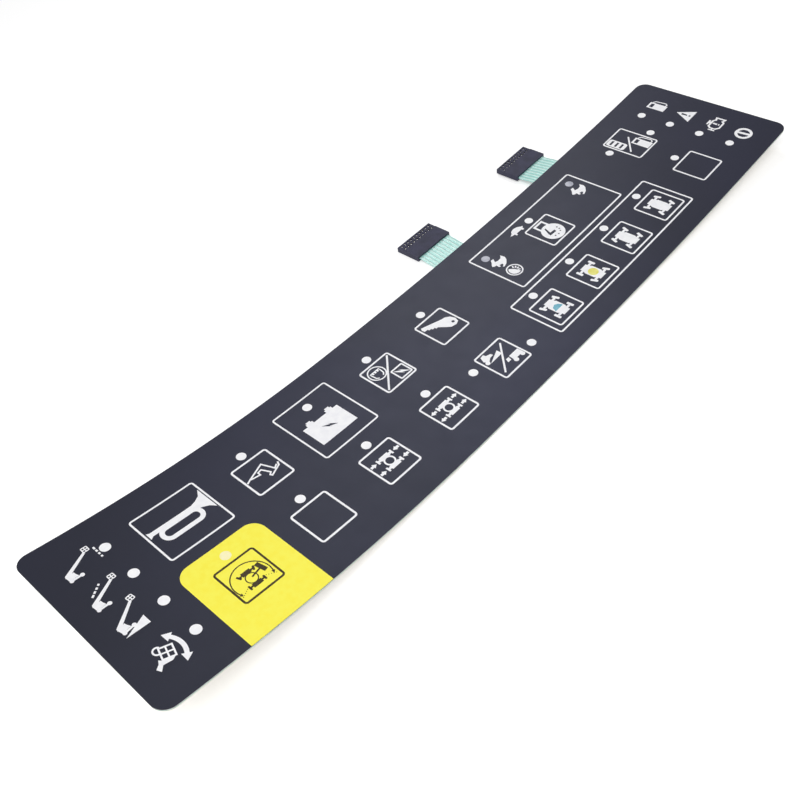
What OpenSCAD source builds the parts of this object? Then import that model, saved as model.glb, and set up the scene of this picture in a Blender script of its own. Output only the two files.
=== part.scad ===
// Membrane keypad: a bowed laminate of printed film, snap domes and circuit film, with two flat tails

/* [Layers] */
// Radius of the bow, measured at the back of the sheet
bend_r = 2340; // [1500:10:4000]
// Radius of the bow at the left end, which springs up more
end_r = 790; // [600:10:1400]
// From the middle of the sheet to the start of the tighter left end
end_from = 62.5; // [56:0.5:150]
// Thickness of the release liner
liner_t = 0.15; // [0.1:0.01:0.25]
// Thickness of the rear adhesive
adhesive_t = 0.15; // [0.1:0.01:0.25]
// Thickness of the circuit film with its printed coats
circuit_t = 0.25; // [0.2:0.01:0.3]
// Thickness of the dome spacer
spacer_t = 0.45; // [0.43:0.01:0.8]
// Thickness of the printed overlay film
overlay_t = 0.25; // [0.15:0.01:0.4]
// Depth of the screen ink in the face of the film
ink_t = 0.05; // [0.03:0.01:0.1]
// Radius of the corners of the sheet
corner_r = 6.5; // [3:0.5:10]

/* [Lengthways layout] */
// From the left end of the sheet to its LED column
left_margin = 31; // [26:0.5:40]
// From the left LED column to the first key column
left_gap = 31; // [28:0.5:40]
// Between the key columns of the left block
key_pitch = 42.1; // [40:0.1:50]
// From the last key column of the left block to the first steering key
block_gap = 46; // [44:0.5:60]
// Between the steering keys
steer_pitch = 33.6; // [32:0.1:38]
// From the last steering key to the fuel column
fuel_gap = 42.2; // [40:0.1:50]
// From the fuel column to the right LED column
right_gap = 27.6; // [24:0.1:35]
// From the right LED column to the right end of the sheet
right_margin = 30.5; // [20:0.5:40]

/* [Crossways layout] */
// From the tail edge of the sheet to the middle of the upper keys
upper_margin = 34; // [32:0.5:40]
// Between the upper and the lower keys
row_gap = 39.5; // [39:0.5:46]
// From the middle of the lower keys to the front edge of the sheet
lower_margin = 26.5; // [22:0.5:34]
// From the middle of a key up to its LED
led_up = 14.8; // [13.5:0.1:16]
// Between the LEDs of an end column
end_led_pitch = 19.9; // [12:0.1:20]

/* [Key frames] */
// Side of a key frame, along the middle of its line
key_side = 20.3; // [18:0.1:22]
// Width of a printed line
line_w = 1.2; // [0.8:0.1:1.6]
// Corner radius of a key frame
frame_r = 1.8; // [1.2:0.1:3]
// Width of the horn key frame
horn_w = 33.2; // [30:0.1:36]
// Depth of the horn key frame
horn_d = 29.9; // [28:0.1:32]
// How far the horn key frame is above its row
horn_up = 4; // [3:0.1:5]
// Width of the battery key frame
battery_w = 34.5; // [30:0.1:36]
// Depth of the battery key frame
battery_d = 37.3; // [35:0.1:38]
// How far the battery key frame is above its row
battery_up = 2.3; // [2:0.1:3]
// Width of the fuel key frame
fuel_w = 19.6; // [18:0.1:21]
// Depth of the fuel key frame
fuel_d = 26; // [22:0.1:27]
// How far the fuel key frame is above its row
fuel_up = 5.8; // [5:0.1:6.5]
// Width of the frame round the speed keys
speed_w = 95.2; // [94:0.1:100]
// Depth of the frame round the speed keys
speed_d = 37.6; // [36:0.1:39]
// How far the speed frame is above its row
speed_up = 2.3; // [2:0.1:3]
// How far the side LEDs of the speed frame are from its middle
speed_led = 40.5; // [36:0.1:42]
// Room between the outer steering key frames and the frame round them
steer_side = 4; // [3:0.1:5]
// Depth of the frame round the steering keys
steer_d = 32.2; // [32:0.1:34]
// How far the steering frame is above its row
steer_up = 3; // [2.6:0.1:3.4]
// Width of the yellow field
field_w = 41; // [38:0.5:46]
// From the middle of the lower keys to the top of the yellow field
field_up = 19.8; // [19:0.1:21]
// Radius of the top corners of the yellow field
field_r = 7; // [4:0.5:9]
// Sideways distance of the two LEDs beside the lift key
lift_led_x = 17; // [14:0.1:18]
// Sideways distance of the two LEDs beside the fuel key
fuel_led_x = 14.7; // [13.5:0.1:15.5]
// Step of each LED of a pair above or below the middle of its key
pair_led_y = 5.2; // [4:0.1:6]

/* [Domes and LEDs] */
// Diameter of a snap dome at its foot
dome_d = 12; // [8:0.5:13]
// Rise of a snap dome
dome_h = 0.34; // [0.2:0.01:0.36]
// Sheet thickness of a snap dome
dome_t = 0.1; // [0.06:0.01:0.12]
// Room round a dome in its pocket
dome_room = 0.4; // [0.2:0.1:0.8]
// Diameter of an LED window and of the pocket under it
window_d = 4.9; // [4:0.1:6]
// Length of a chip LED
led_l = 1.6; // [1:0.1:2]
// Width of a chip LED
led_w = 0.8; // [0.5:0.1:1.2]
// Height of a chip LED
led_h = 0.4; // [0.3:0.01:0.4]
// Thickness of the base of a chip LED
led_base_t = 0.14; // [0.1:0.01:0.2]
// Length of the metal end of a chip LED
led_end = 0.25; // [0.15:0.01:0.35]
// Clearance under domes and LEDs
seat_gap = 0.02; // [0.01:0.01:0.03]
// Width of the vent channels between the dome pockets
vent_w = 1.2; // [0.8:0.1:2]

/* [Tails] */
// Width of a tail
tail_w = 25.4; // [22:0.1:25.6]
// Thickness of a tail, which is bare film
tail_t = 0.13; // [0.1:0.01:0.14]
// Length of a tail inside the sheet
tail_root = 3; // [1:0.5:5]
// Free length of a tail from the edge of the sheet to its connector
tail_run = 11.8; // [10:0.1:30]
// Length of tail inside the connector
tail_in = 6.5; // [5:0.1:7]
// Distance of the first tail to the right of the first steering key
tail_a_shift = 2; // [-4:0.5:6]
// Distance of the second tail to the left of the last steering key
tail_b_shift = 6; // [0:0.5:12]
// Step of the second tail down from the sheet to its connector
tail_b_drop = 1; // [0.3:0.1:2]
// Height of the first connector above the table
table_gap = 0.05; // [0.02:0.01:0.2]

/* [Connectors] */
// Contacts in a connector
ways = 10; // [10:1:12]
// Contact pitch
pitch = 2.54; // [2.5:0.01:2.6]
// Side wall of a housing beyond the outer contact spaces
side_wall = 1; // [0.8:0.1:1.5]
// Depth of a housing along the tail
housing_d = 15.8; // [15:0.1:20]
// Height of a housing
housing_h = 3.2; // [3:0.1:4]
// Depth of the lowered nose of a housing
nose_d = 5.6; // [5.2:0.1:7]
// Step down to the nose
nose_step = 0.3; // [0.1:0.05:0.35]
// Side of a square contact cavity
cavity = 1.9; // [1.8:0.05:2]
// Depth of a contact cavity
cavity_d = 8.5; // [8:0.1:9]
// Height of the slot that takes the tail
slot_h = 1.1; // [0.9:0.1:1.4]
// Clearance at the sides of the tail and round the contacts
fit_gap = 0.1; // [0.05:0.01:0.1]
// Side of a window over a contact
port = 1.2; // [0.8:0.1:1.4]
// Between the two rows of windows
port_step = 2.6; // [2:0.1:3]
// From the mating face to the middle of the first row of windows
port_edge = 1.6; // [1.2:0.1:2]
// Wall of a contact
contact_t = 0.25; // [0.15:0.01:0.3]
// Width of the tab of a contact
tab_w = 1.3; // [0.8:0.1:1.5]
// Length of the tab that lies on the tail
tab_lap = 2.5; // [1.5:0.1:4]
// Depth of a contact behind the mating face
contact_in = 0.5; // [0.2:0.1:1]

/* [Hidden] */
$fn = 96;
dome_fn = 720;
// Length of the straight steps that make up the bow
bow_step = 5;
tail_steps = 10;

// Heights of the layers above the back
z_adhesive = liner_t;
z_circuit = z_adhesive + adhesive_t;
z_spacer = z_circuit + circuit_t;
z_overlay = z_spacer + spacer_t;
z_print = z_overlay + overlay_t;
z_ink = z_print - ink_t;
tail_bow = tail_w * tail_w / (8 * bend_r);
z_tail = z_circuit + (circuit_t + tail_bow) / 2;
cut_low = -1;
cut_high = z_print + 12;

// Size of the sheet
panel_l = left_margin + left_gap + 4 * key_pitch + block_gap + 3 * steer_pitch + fuel_gap + right_gap + right_margin;
panel_w = upper_margin + row_gap + lower_margin;

// Ends of the bowed sheet in plan, to a hundredth, and the rise of the left one
plan_left = round(bow_point(-panel_l / 2, 0)[0] * 100) / 100;
plan_right = round(bow_point(panel_l / 2, 0)[0] * 100) / 100;
bow_rise = bow_point(-panel_l / 2, 0)[1];

// Columns, from left to right
left_led_x = left_margin - panel_l / 2;
columns = [for (i = [0:4]) left_led_x + left_gap + i * key_pitch];
steers = [for (i = [0:3]) columns[4] + block_gap + i * steer_pitch];
steer_mid = (steers[0] + steers[3]) / 2;
fuel_x = steers[3] + fuel_gap;
right_led_x = fuel_x + right_gap;

// Rows
upper_y = panel_w / 2 - upper_margin;
lower_y = lower_margin - panel_w / 2;
upper_led_y = upper_y + led_up;
lower_led_y = lower_y + led_up;

// Keys: name, middle along, middle across, width, depth
keys = [
    ["horn", columns[0], upper_y + horn_up, horn_w, horn_d],
    ["aux", columns[1], upper_y, key_side, key_side],
    ["battery", columns[2], upper_y + battery_up, battery_w, battery_d],
    ["select", columns[3], upper_y, key_side, key_side],
    ["start", columns[4], upper_y, key_side, key_side],
    ["spare_b", columns[1], lower_y, key_side, key_side],
    ["axle_2", columns[2], lower_y, key_side, key_side],
    ["axle_1", columns[3], lower_y, key_side, key_side],
    ["lift", columns[4], lower_y, key_side, key_side],
    for (i = [0:3]) [str("steer_", i + 1), steers[i], lower_y, key_side, key_side],
    ["rpm", steer_mid, upper_y, key_side, key_side],
    ["fuel", fuel_x, upper_y + fuel_up, fuel_w, fuel_d],
    ["spare_a", fuel_x, lower_y, key_side, key_side]
];
enable_key = ["enable", columns[0], lower_y, key_side, key_side];
all_keys = concat(keys, [enable_key]);
groups = [
    [steer_mid, upper_y + speed_up, speed_w, speed_d],
    [steer_mid, lower_y + steer_up, 3 * steer_pitch + key_side + 2 * steer_side, steer_d]
];

// LEDs: middle along, middle across
leds = concat(
    [for (i = [0:3]) [left_led_x, upper_led_y - i * end_led_pitch]],
    [for (i = [1:4]) [columns[i], upper_led_y]],
    [for (i = [0:3]) [columns[i], lower_led_y]],
    [for (side = [-1, 1]) [columns[4] + side * lift_led_x, lower_y - side * pair_led_y]],
    [for (x = steers) [x, lower_led_y]],
    [for (side = [-1, 0, 1]) [steer_mid + side * speed_led, upper_led_y]],
    [for (side = [-1, 1]) [fuel_x + side * fuel_led_x, upper_y + fuel_up - side * pair_led_y]],
    [[fuel_x, lower_led_y]],
    [for (i = [0:3]) [right_led_x, upper_led_y - i * end_led_pitch]]
);

// Connector sizes
housing_w = ways * pitch + 2 * side_wall;
slot_d = housing_d - cavity_d;
contact_w = cavity - 2 * fit_gap;
contact_back = slot_d + fit_gap;

// Tails: place along the sheet and the turns of their two arcs, up being positive
tail_a_x = steers[0] + tail_a_shift;
tail_b_x = steers[3] - tail_b_shift;
tail_a_rise = housing_h / 2 - z_tail - table_drop(tail_a_x) + table_gap;
tail_a_turn = arc_angle(tail_a_rise, tail_run / 2);
tail_b_turn = arc_angle(-tail_b_drop, tail_run / 2);
tails = [
    ["a", tail_a_x, [tail_a_turn, -tail_a_turn]],
    ["b", tail_b_x, [tail_b_turn, -tail_b_turn]]
];

// Angle that an arc turns through
function arc_angle(run, r) = run / r * 180 / PI;

// The bow has two arcs that meet smoothly: radius, centre in the side view and slope at a place along the sheet
function bow_radius(s) = s > -end_from ? bend_r : end_r;
function bow_centre(s) =
    let (joint = arc_angle(-end_from, bend_r), shift = bend_r - bow_radius(s))
    [shift * sin(joint), bend_r - shift * cos(joint)];
function bow_slope(s) =
    s > -end_from ? arc_angle(s, bend_r) : arc_angle(-end_from, bend_r) + arc_angle(s + end_from, end_r);

// Side view of a point at a place along the sheet and a height above its back
function bow_point(s, h) = bow_centre(s) + (bow_radius(s) - h) * [sin(bow_slope(s)), -cos(bow_slope(s))];

// How far a level connector can drop below the back of the sheet before it meets the table
function table_drop(s) =
    let (a = abs(bow_slope(s)))
    (bend_r * (1 - cos(a)) - housing_w / 2 * sin(a)) / cos(a);

// A share of the way along an arc that starts level, and turns up where the turn is positive
function arc_point(run, turn, share) =
    let (r = run / (turn * PI / 180))
    [r * sin(turn * share), r * (1 - cos(turn * share))];

function turned(v, a) = [v[0] * cos(a) - v[1] * sin(a), v[0] * sin(a) + v[1] * cos(a)];

// Middle line of a tail with a straight root, two arcs and a straight end, as points with their headings
function tail_path(turns) =
    let (half = tail_run / 2, first = arc_point(half, turns[0], 1), heading = turns[0] + turns[1])
    concat(
        [[[-tail_root, 0], 0]],
        [for (i = [0:tail_steps]) [arc_point(half, turns[0], i / tail_steps), turns[0] * i / tail_steps]],
        [for (i = [1:tail_steps])
            [first + turned(arc_point(half, turns[1], i / tail_steps), turns[0]), turns[0] + turns[1] * i / tail_steps]],
        [[tail_end(turns) + turned([tail_in, 0], heading), heading]]
    );
function tail_end(turns) = arc_point(tail_run / 2, turns[0], 1) + turned(arc_point(tail_run / 2, turns[1], 1), turns[0]);

// Rounded rectangle
module rounded(w, d, r) {
    square([w - 2 * r, d], center = true);
    square([w, d - 2 * r], center = true);
    for (sx = [-1, 1], sy = [-1, 1])
        translate([sx * (w / 2 - r), sy * (d / 2 - r)]) circle(r);
}

// Printed outline of a key, given along the middle of its line
module outline(w, d) {
    difference() {
        rounded(w + line_w, d + line_w, frame_r + line_w / 2);
        rounded(w - line_w, d - line_w, frame_r - line_w / 2);
    }
}

// Moves what stands at the origin to a place along the bow, upright on the sheet
module on_bow(s) {
    p = bow_point(s, 0);
    translate([p[0], 0, p[1]]) rotate([0, -bow_slope(s), 0]) children();
}

// Bowed strip between two heights above the back, from the step before one place to the step after another
module bowed(low, high, from, to, width) {
    first = floor((from + end_from) / bow_step);
    last = ceil((to + end_from) / bow_step);
    lower = [for (i = [first:last]) bow_point(i * bow_step - end_from, low)];
    upper = [for (i = [last:-1:first]) bow_point(i * bow_step - end_from, high)];
    translate([0, width / 2, 0]) rotate([90, 0, 0]) linear_extrude(width) polygon(concat(lower, upper));
}

// One layer of the sheet, with its outline cut straight down
module layer(low, high) {
    reach = panel_l / 2 + 2 * bow_step;
    intersection() {
        bowed(low, high, -reach, reach, panel_w + 2);
        translate([(plan_left + plan_right) / 2, 0, cut_low])
            linear_extrude(bow_rise + cut_high) rounded(plan_right - plan_left, panel_w, corner_r);
    }
}

// Part of the sheet between two heights that has a flat shape of some width as its outline
module stamped(s, y, width, low, high) {
    reach = width / 2 + 2 * bow_step;
    intersection() {
        bowed(low, high, s - reach, s + reach, panel_w + 2);
        on_bow(s) translate([0, y, cut_low]) linear_extrude(cut_high) children();
    }
}

// The yellow field runs to the front edge, or past it where it cuts the film
module field(past) {
    depth = lower_margin + field_up;
    translate([0, -lower_margin]) {
        translate([-field_w / 2, -past]) square([field_w, depth - field_r + past]);
        translate([field_r - field_w / 2, 0]) square([field_w - 2 * field_r, depth]);
        for (side = [-1, 1]) translate([side * (field_w / 2 - field_r), depth - field_r]) circle(field_r);
    }
}

// Film with a shallow place for each patch of ink, so that the face is flush
module graphic_overlay() {
    color("#43444e") difference() {
        layer(z_overlay, z_print);
        for (k = keys) stamped(k[1], k[2], k[3], z_ink, z_print + 1) outline(k[3], k[4]);
        for (g = groups) stamped(g[0], g[1], g[2], z_ink, z_print + 1) outline(g[2], g[3]);
        for (l = leds) stamped(l[0], l[1], window_d, z_ink, z_print + 1) circle(d = window_d);
        stamped(columns[0], lower_y, field_w, z_ink, z_print + 1) field(1);
    }
}

module frame_print() {
    color("#f4f4f6") {
        for (k = keys) stamped(k[1], k[2], k[3], z_ink, z_print) outline(k[3], k[4]);
        for (g = groups) stamped(g[0], g[1], g[2], z_ink, z_print) outline(g[2], g[3]);
    }
}

module window_print() {
    color("#e4e6ea") for (l = leds) stamped(l[0], l[1], window_d, z_ink, z_print) circle(d = window_d);
}

// The field leaves room for the window of its LED and for the frame of its key
module yellow_field() {
    color("#fbe83c") stamped(columns[0], lower_y, field_w, z_ink, z_print) difference() {
        field(0);
        translate([0, led_up]) circle(d = window_d);
        outline(enable_key[3], enable_key[4]);
    }
}

module enable_frame() {
    color("#3a3b42") stamped(enable_key[1], enable_key[2], enable_key[3], z_ink, z_print)
        outline(enable_key[3], enable_key[4]);
}

// Die-cut spacer with round pockets and a vent channel along each row
module dome_spacer() {
    color("#d9dcd8") difference() {
        layer(z_spacer, z_overlay);
        for (k = all_keys)
            on_bow(k[1]) translate([0, k[2], cut_low]) cylinder(d = dome_d + 2 * dome_room, h = cut_high);
        for (l = leds)
            on_bow(l[0]) translate([0, l[1], cut_low]) cylinder(d = window_d, h = cut_high);
        for (y = [upper_y + battery_up, lower_y])
            translate([0, y, 0]) bowed(z_circuit, z_print, columns[0], fuel_x, vent_w);
    }
}

// Snap dome, a shallow cap of sprung sheet that stands on its rim
module dome(k) {
    r = (dome_d * dome_d / 4 + dome_h * dome_h) / (2 * dome_h);
    rim_lift = dome_d * dome_d / (8 * (bow_radius(k[1]) - z_spacer));
    color("#c9ccd0") on_bow(k[1]) translate([0, k[2], z_spacer + rim_lift + seat_gap + dome_h - r])
        rotate_extrude() intersection() {
            difference() {
                circle(r, $fn = dome_fn);
                circle(r - dome_t, $fn = dome_fn);
            }
            translate([0, r - dome_h]) square([dome_d, dome_h + 1]);
        }
}

// Chip LED: a base with metal ends and a clear block between them
module led(l) {
    color("#f2efe2") on_bow(l[0]) translate([0, l[1], z_spacer + seat_gap]) {
        translate([-led_l / 2, -led_w / 2, 0]) cube([led_l, led_w, led_base_t]);
        translate([led_end - led_l / 2, -led_w / 2, led_base_t])
            cube([led_l - 2 * led_end, led_w, led_h - led_base_t]);
    }
}

// Side view of a tail from its root in the sheet to its end in the connector
module tail_side(turns) {
    path = tail_path(turns);
    upper = [for (p = path) p[0] + turned([0, tail_t / 2], p[1])];
    lower = [for (p = path) p[0] - turned([0, tail_t / 2], p[1])];
    polygon(concat(lower, [for (i = [len(upper) - 1:-1:0]) upper[i]]));
}

// Moves what stands at the origin to the root of a tail at the edge of the sheet
module at_root(t) {
    on_bow(t[1]) translate([0, panel_w / 2, z_tail]) children();
}

// Moves what stands at the origin to the place where a tail enters its connector
module at_connector(t) {
    e = tail_end(t[2]);
    at_root(t) translate([0, e[0], e[1]]) rotate([t[2][0] + t[2][1], 0, 0]) children();
}

module circuit_film() {
    color("#b7e8dd") {
        layer(z_circuit, z_spacer);
        for (t = tails)
            at_root(t) rotate([90, 0, 90]) linear_extrude(tail_w, center = true) tail_side(t[2]);
    }
}

module rear_adhesive() {
    color("#e6e2d2") layer(z_adhesive, z_circuit);
}

module release_liner() {
    color("#f0ead8") layer(0, z_adhesive);
}

// Crimp housing: a flat block with a lowered nose, square cavities, windows over the contacts and a slot for the tail
module connector(t) {
    slot_w = tail_w + 2 * fit_gap;
    color("#3b3a41") at_connector(t) difference() {
        translate([-housing_w / 2, 0, -housing_h / 2]) cube([housing_w, housing_d, housing_h]);
        translate([-housing_w / 2 - 1, housing_d - nose_d, housing_h / 2 - nose_step])
            cube([housing_w + 2, nose_d + 1, nose_step + 1]);
        translate([-slot_w / 2, -1, -slot_h / 2]) cube([slot_w, slot_d + 1 + fit_gap, slot_h]);
        for (i = [0:ways - 1]) translate([(i - (ways - 1) / 2) * pitch, 0, 0]) {
            translate([-cavity / 2, slot_d, -cavity / 2]) cube([cavity, cavity_d + 1, cavity]);
            for (row = [0, 1])
                translate([-port / 2, housing_d - port_edge - row * port_step - port / 2, 0])
                    cube([port, port, housing_h]);
        }
    }
}

// Contact: a square tube with a closed back and a tab that is crimped on the tail
module contact() {
    length = housing_d - contact_in - contact_back;
    translate([0, contact_back, 0]) difference() {
        translate([-contact_w / 2, 0, -contact_w / 2]) cube([contact_w, length, contact_w]);
        translate([contact_t - contact_w / 2, contact_t, contact_t - contact_w / 2])
            cube([contact_w - 2 * contact_t, length, contact_w - 2 * contact_t]);
    }
    translate([-tab_w / 2, tail_in - tab_lap, tail_t / 2])
        cube([tab_w, contact_back - tail_in + tab_lap + contact_t / 2, contact_t]);
}

module contacts(t) {
    color("#c8b878") at_connector(t)
        for (i = [0:ways - 1]) translate([(i - (ways - 1) / 2) * pitch, 0, 0]) contact();
}

graphic_overlay();
frame_print();
window_print();
yellow_field();
enable_frame();
dome_spacer();
circuit_film();
rear_adhesive();
release_liner();
for (k = all_keys) dome(k);
for (i = [1:len(leds)]) led(leds[i - 1]);
for (t = tails) connector(t);
for (t = tails) contacts(t);
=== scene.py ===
import math

import bmesh
import bpy
from mathutils import Matrix, Vector
from mathutils.geometry import delaunay_2d_cdt


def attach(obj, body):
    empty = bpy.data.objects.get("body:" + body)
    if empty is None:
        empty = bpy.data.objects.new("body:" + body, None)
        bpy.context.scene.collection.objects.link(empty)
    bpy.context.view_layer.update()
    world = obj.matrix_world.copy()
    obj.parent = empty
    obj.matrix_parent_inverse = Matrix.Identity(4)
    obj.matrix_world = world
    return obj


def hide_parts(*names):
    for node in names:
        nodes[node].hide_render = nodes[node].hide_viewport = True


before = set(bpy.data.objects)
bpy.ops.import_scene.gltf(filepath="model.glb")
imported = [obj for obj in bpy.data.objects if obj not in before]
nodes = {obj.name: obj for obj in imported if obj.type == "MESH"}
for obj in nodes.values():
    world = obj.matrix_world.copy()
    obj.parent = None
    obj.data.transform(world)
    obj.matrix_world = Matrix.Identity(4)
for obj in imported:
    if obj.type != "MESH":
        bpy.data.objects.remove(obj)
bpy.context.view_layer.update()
print("frame loaded:", len(nodes), "nodes")

mm = 0.001
closeEnough = 1e-4  # millimetres within which two points are one
sharpAngle = 25  # degrees from which an edge stays sharp
mitreLimit = 0.45  # keeps the tip of a sharp corner short

# the bowed sheet, in millimetres along it, across it and above its back
sheet = {
    "bendRadius": 2340.0,
    "endRadius": 790.0,
    "endFrom": 62.5,
    "length": 477.5,
    "width": 100.0,
    "corner": 6.5,
    "liner": (0.0, 0.15),
    "film": (1.0, 1.25),
    "cutEvery": 4.0,
}

# places of the printed columns and rows
layout = {
    "leftLeds": -207.75,
    "columns": [-176.75, -134.65, -92.55, -50.45, -8.35],
    "steers": [37.65, 71.25, 104.85, 138.45],
    "fuel": 180.65,
    "rightLeds": 208.25,
    "upper": 16.0,
    "lower": -23.5,
    "ledUp": 14.8,
    "endLedPitch": 19.9,
}


# Colours and nodes


def hexLinear(text):
    parts = [int(text[i : i + 2], 16) / 255 for i in (1, 3, 5)]
    return [c / 12.92 if c <= 0.04045 else ((c + 0.055) / 1.055) ** 2.4 for c in parts] + [1.0]


# adds a node, sets its properties and unlinked sockets, and links the rest
def addNode(tree, kind, props=None, values=None, links=None):
    node = tree.nodes.new(kind)
    for key, value in (props or {}).items():
        setattr(node, key, value)
    for key, value in (values or {}).items():
        node.inputs[key].default_value = value
    for key, source in (links or {}).items():
        tree.links.new(source, node.inputs[key])
    return node


def startMaterial(name):
    material = bpy.data.materials.new(name)
    material.use_nodes = True
    material.node_tree.nodes.clear()
    tree = material.node_tree
    place = addNode(tree, "ShaderNodeTexCoord")
    return material, tree, place.outputs["Object"]


def endMaterial(material, tree, values, links):
    body = addNode(tree, "ShaderNodeBsdfPrincipled", None, values, links)
    addNode(tree, "ShaderNodeOutputMaterial", None, None, {"Surface": body.outputs["BSDF"]})
    return material


# scale of a noise whose patches have a size in millimetres
def perMetre(size):
    return 1000 / size


# two colours mixed by a soft noise, with the size of its patches in millimetres
def mottle(tree, place, patch, first, second, low=0.35, high=0.65):
    values = {"Scale": perMetre(patch), "Detail": 3.0}
    noise = addNode(tree, "ShaderNodeTexNoise", None, values, {"Vector": place})
    ramp = addNode(tree, "ShaderNodeValToRGB", None, None, {"Fac": noise.outputs["Fac"]})
    ramp.color_ramp.elements[0].position = low
    ramp.color_ramp.elements[0].color = hexLinear(first)
    ramp.color_ramp.elements[1].position = high
    ramp.color_ramp.elements[1].color = hexLinear(second)
    return ramp.outputs["Color"]


# fine surface grain as a bump, with its grit and its depth in millimetres
def grain(tree, place, grit, depth):
    values = {"Scale": perMetre(grit), "Detail": 2.0}
    noise = addNode(tree, "ShaderNodeTexNoise", None, values, {"Vector": place})
    values = {"Strength": 0.5, "Distance": depth * mm}
    bump = addNode(tree, "ShaderNodeBump", None, values, {"Height": noise.outputs["Fac"]})
    return bump.outputs["Normal"]


# Materials


# polyester film with a fine velvet texture: a dark face with a soft, broad and bluish sheen
def velvetPolyester():
    material, tree, place = startMaterial("velvetPolyester")
    colour = mottle(tree, place, 140, "#24252b", "#2b2c3a", 0.3, 0.7)
    cloud = {"Scale": perMetre(9), "Detail": 4.0}
    rough = addNode(tree, "ShaderNodeTexNoise", None, cloud, {"Vector": place})
    limits = {"To Min": 0.34, "To Max": 0.44}
    band = addNode(tree, "ShaderNodeMapRange", None, limits, {"Value": rough.outputs["Fac"]})
    values = {"IOR": 1.57, "Specular IOR Level": 0.29, "Specular Tint": hexLinear("#d6dbff")}
    # the real texture is about 0.05 mm, drawn at 0.5 mm so that it shows
    texture = grain(tree, place, 0.5, 0.01)
    links = {"Base Color": colour, "Roughness": band.outputs["Result"], "Normal": texture}
    return endMaterial(material, tree, values, links)


# screen ink: an even matt coat that shows a little of the mesh it was pressed through
def screenInk(name, first, second):
    material, tree, place = startMaterial(name)
    colour = mottle(tree, place, 3, first, second)
    values = {"IOR": 1.5, "Roughness": 0.5, "Specular IOR Level": 0.35}
    # mesh marks are about 0.1 mm, drawn at 0.4 mm so that they show
    links = {"Base Color": colour, "Normal": grain(tree, place, 0.4, 0.006)}
    return endMaterial(material, tree, values, links)


# bare polyester with a green tint, smooth and a little see-through
def tintedFilm():
    material, tree, place = startMaterial("tintedFilm")
    colour = mottle(tree, place, 12, "#aaf0e6", "#baf6ee")
    values = {"IOR": 1.57, "Roughness": 0.22, "Transmission Weight": 0.15}
    links = {"Base Color": colour, "Normal": grain(tree, place, 4, 0.02)}
    return endMaterial(material, tree, values, links)


# silver-loaded ink of the conductors under a tinted cover: pale, faintly metallic and grainy
def silverInk():
    material, tree, place = startMaterial("silverInk")
    colour = mottle(tree, place, 1.5, "#cef8f1", "#defbf6")
    values = {"Metallic": 0.2, "Roughness": 0.45}
    links = {"Base Color": colour, "Normal": grain(tree, place, 0.3, 0.005)}
    return endMaterial(material, tree, values, links)


# glass-filled nylon, moulded: near black with a dull, slightly uneven skin
def mouldedNylon():
    material, tree, place = startMaterial("mouldedNylon")
    colour = mottle(tree, place, 5, "#20202f", "#2c2c40")
    values = {"IOR": 1.53, "Roughness": 0.48, "Specular IOR Level": 0.42}
    values["Specular Tint"] = hexLinear("#dcdeff")
    links = {"Base Color": colour, "Normal": grain(tree, place, 0.4, 0.02)}
    return endMaterial(material, tree, values, links)


# tin plate over bronze: pale grey and soft in its shine
def tinPlate():
    material, tree, place = startMaterial("tinPlate")
    colour = mottle(tree, place, 0.8, "#a9a8a4", "#c9c7c0")
    values = {"Metallic": 1.0, "Roughness": 0.35}
    links = {"Base Color": colour, "Normal": grain(tree, place, 0.5, 0.004)}
    return endMaterial(material, tree, values, links)


# rolled stainless spring strip of the domes: bright, with a close grain and a clear shine
def springSteel():
    material, tree, place = startMaterial("springSteel")
    colour = mottle(tree, place, 2, "#b3b5b8", "#cfd1d3")
    values = {"Metallic": 1.0, "Roughness": 0.25}
    links = {"Base Color": colour, "Normal": grain(tree, place, 0.4, 0.003)}
    return endMaterial(material, tree, values, links)


# cast epoxy of the chip LEDs: cream, smooth and glossy
def castEpoxy():
    material, tree, place = startMaterial("castEpoxy")
    colour = mottle(tree, place, 0.6, "#ece6cf", "#f8f5e6")
    return endMaterial(material, tree, {"IOR": 1.52, "Roughness": 0.2}, {"Base Color": colour})


# acrylic adhesive on its carrier, seen as a pale cut edge
def acrylicAdhesive(name, first, second):
    material, tree, place = startMaterial(name)
    colour = mottle(tree, place, 6, first, second)
    values = {"IOR": 1.47, "Roughness": 0.6}
    links = {"Base Color": colour, "Normal": grain(tree, place, 1.2, 0.01)}
    return endMaterial(material, tree, values, links)


# glazed kraft paper of the liner: cream, with cloudy fibres and a dull gloss
def glazedPaper():
    material, tree, place = startMaterial("glazedPaper")
    colour = mottle(tree, place, 7, "#e6dcc2", "#f1ead7")
    values = {"IOR": 1.5, "Roughness": 0.4}
    links = {"Base Color": colour, "Normal": grain(tree, place, 0.7, 0.015)}
    return endMaterial(material, tree, values, links)


finishes = {
    "film": velvetPolyester(),
    "white": screenInk("whiteInk", "#f3f3f7", "#fbfbfd"),
    "window": screenInk("windowInk", "#f6f6fa", "#fefeff"),
    "greyWindow": screenInk("greyWindowInk", "#a7a9b6", "#c2c3ce"),
    "paleWindow": screenInk("paleWindowInk", "#fff6b4", "#fffbd9"),
    "yellow": screenInk("yellowInk", "#fef34a", "#fff756"),
    "dark": screenInk("darkInk", "#372c12", "#43371b"),
    "lemon": screenInk("lemonInk", "#e4de6a", "#f0ec90"),
    "sky": screenInk("skyInk", "#5fa5bd", "#86c0d2"),
    "tail": tintedFilm(),
    "silver": silverInk(),
    "nylon": mouldedNylon(),
    "tin": tinPlate(),
    "steel": springSteel(),
    "epoxy": castEpoxy(),
    "spacer": acrylicAdhesive("spacerAdhesive", "#b9bcb8", "#d5d8d3"),
    "glue": acrylicAdhesive("rearAdhesive", "#cfcab6", "#e2ddcb"),
    "liner": glazedPaper(),
}
print("materials made:", len(finishes))


# Flat shapes as loops of points in millimetres


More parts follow.
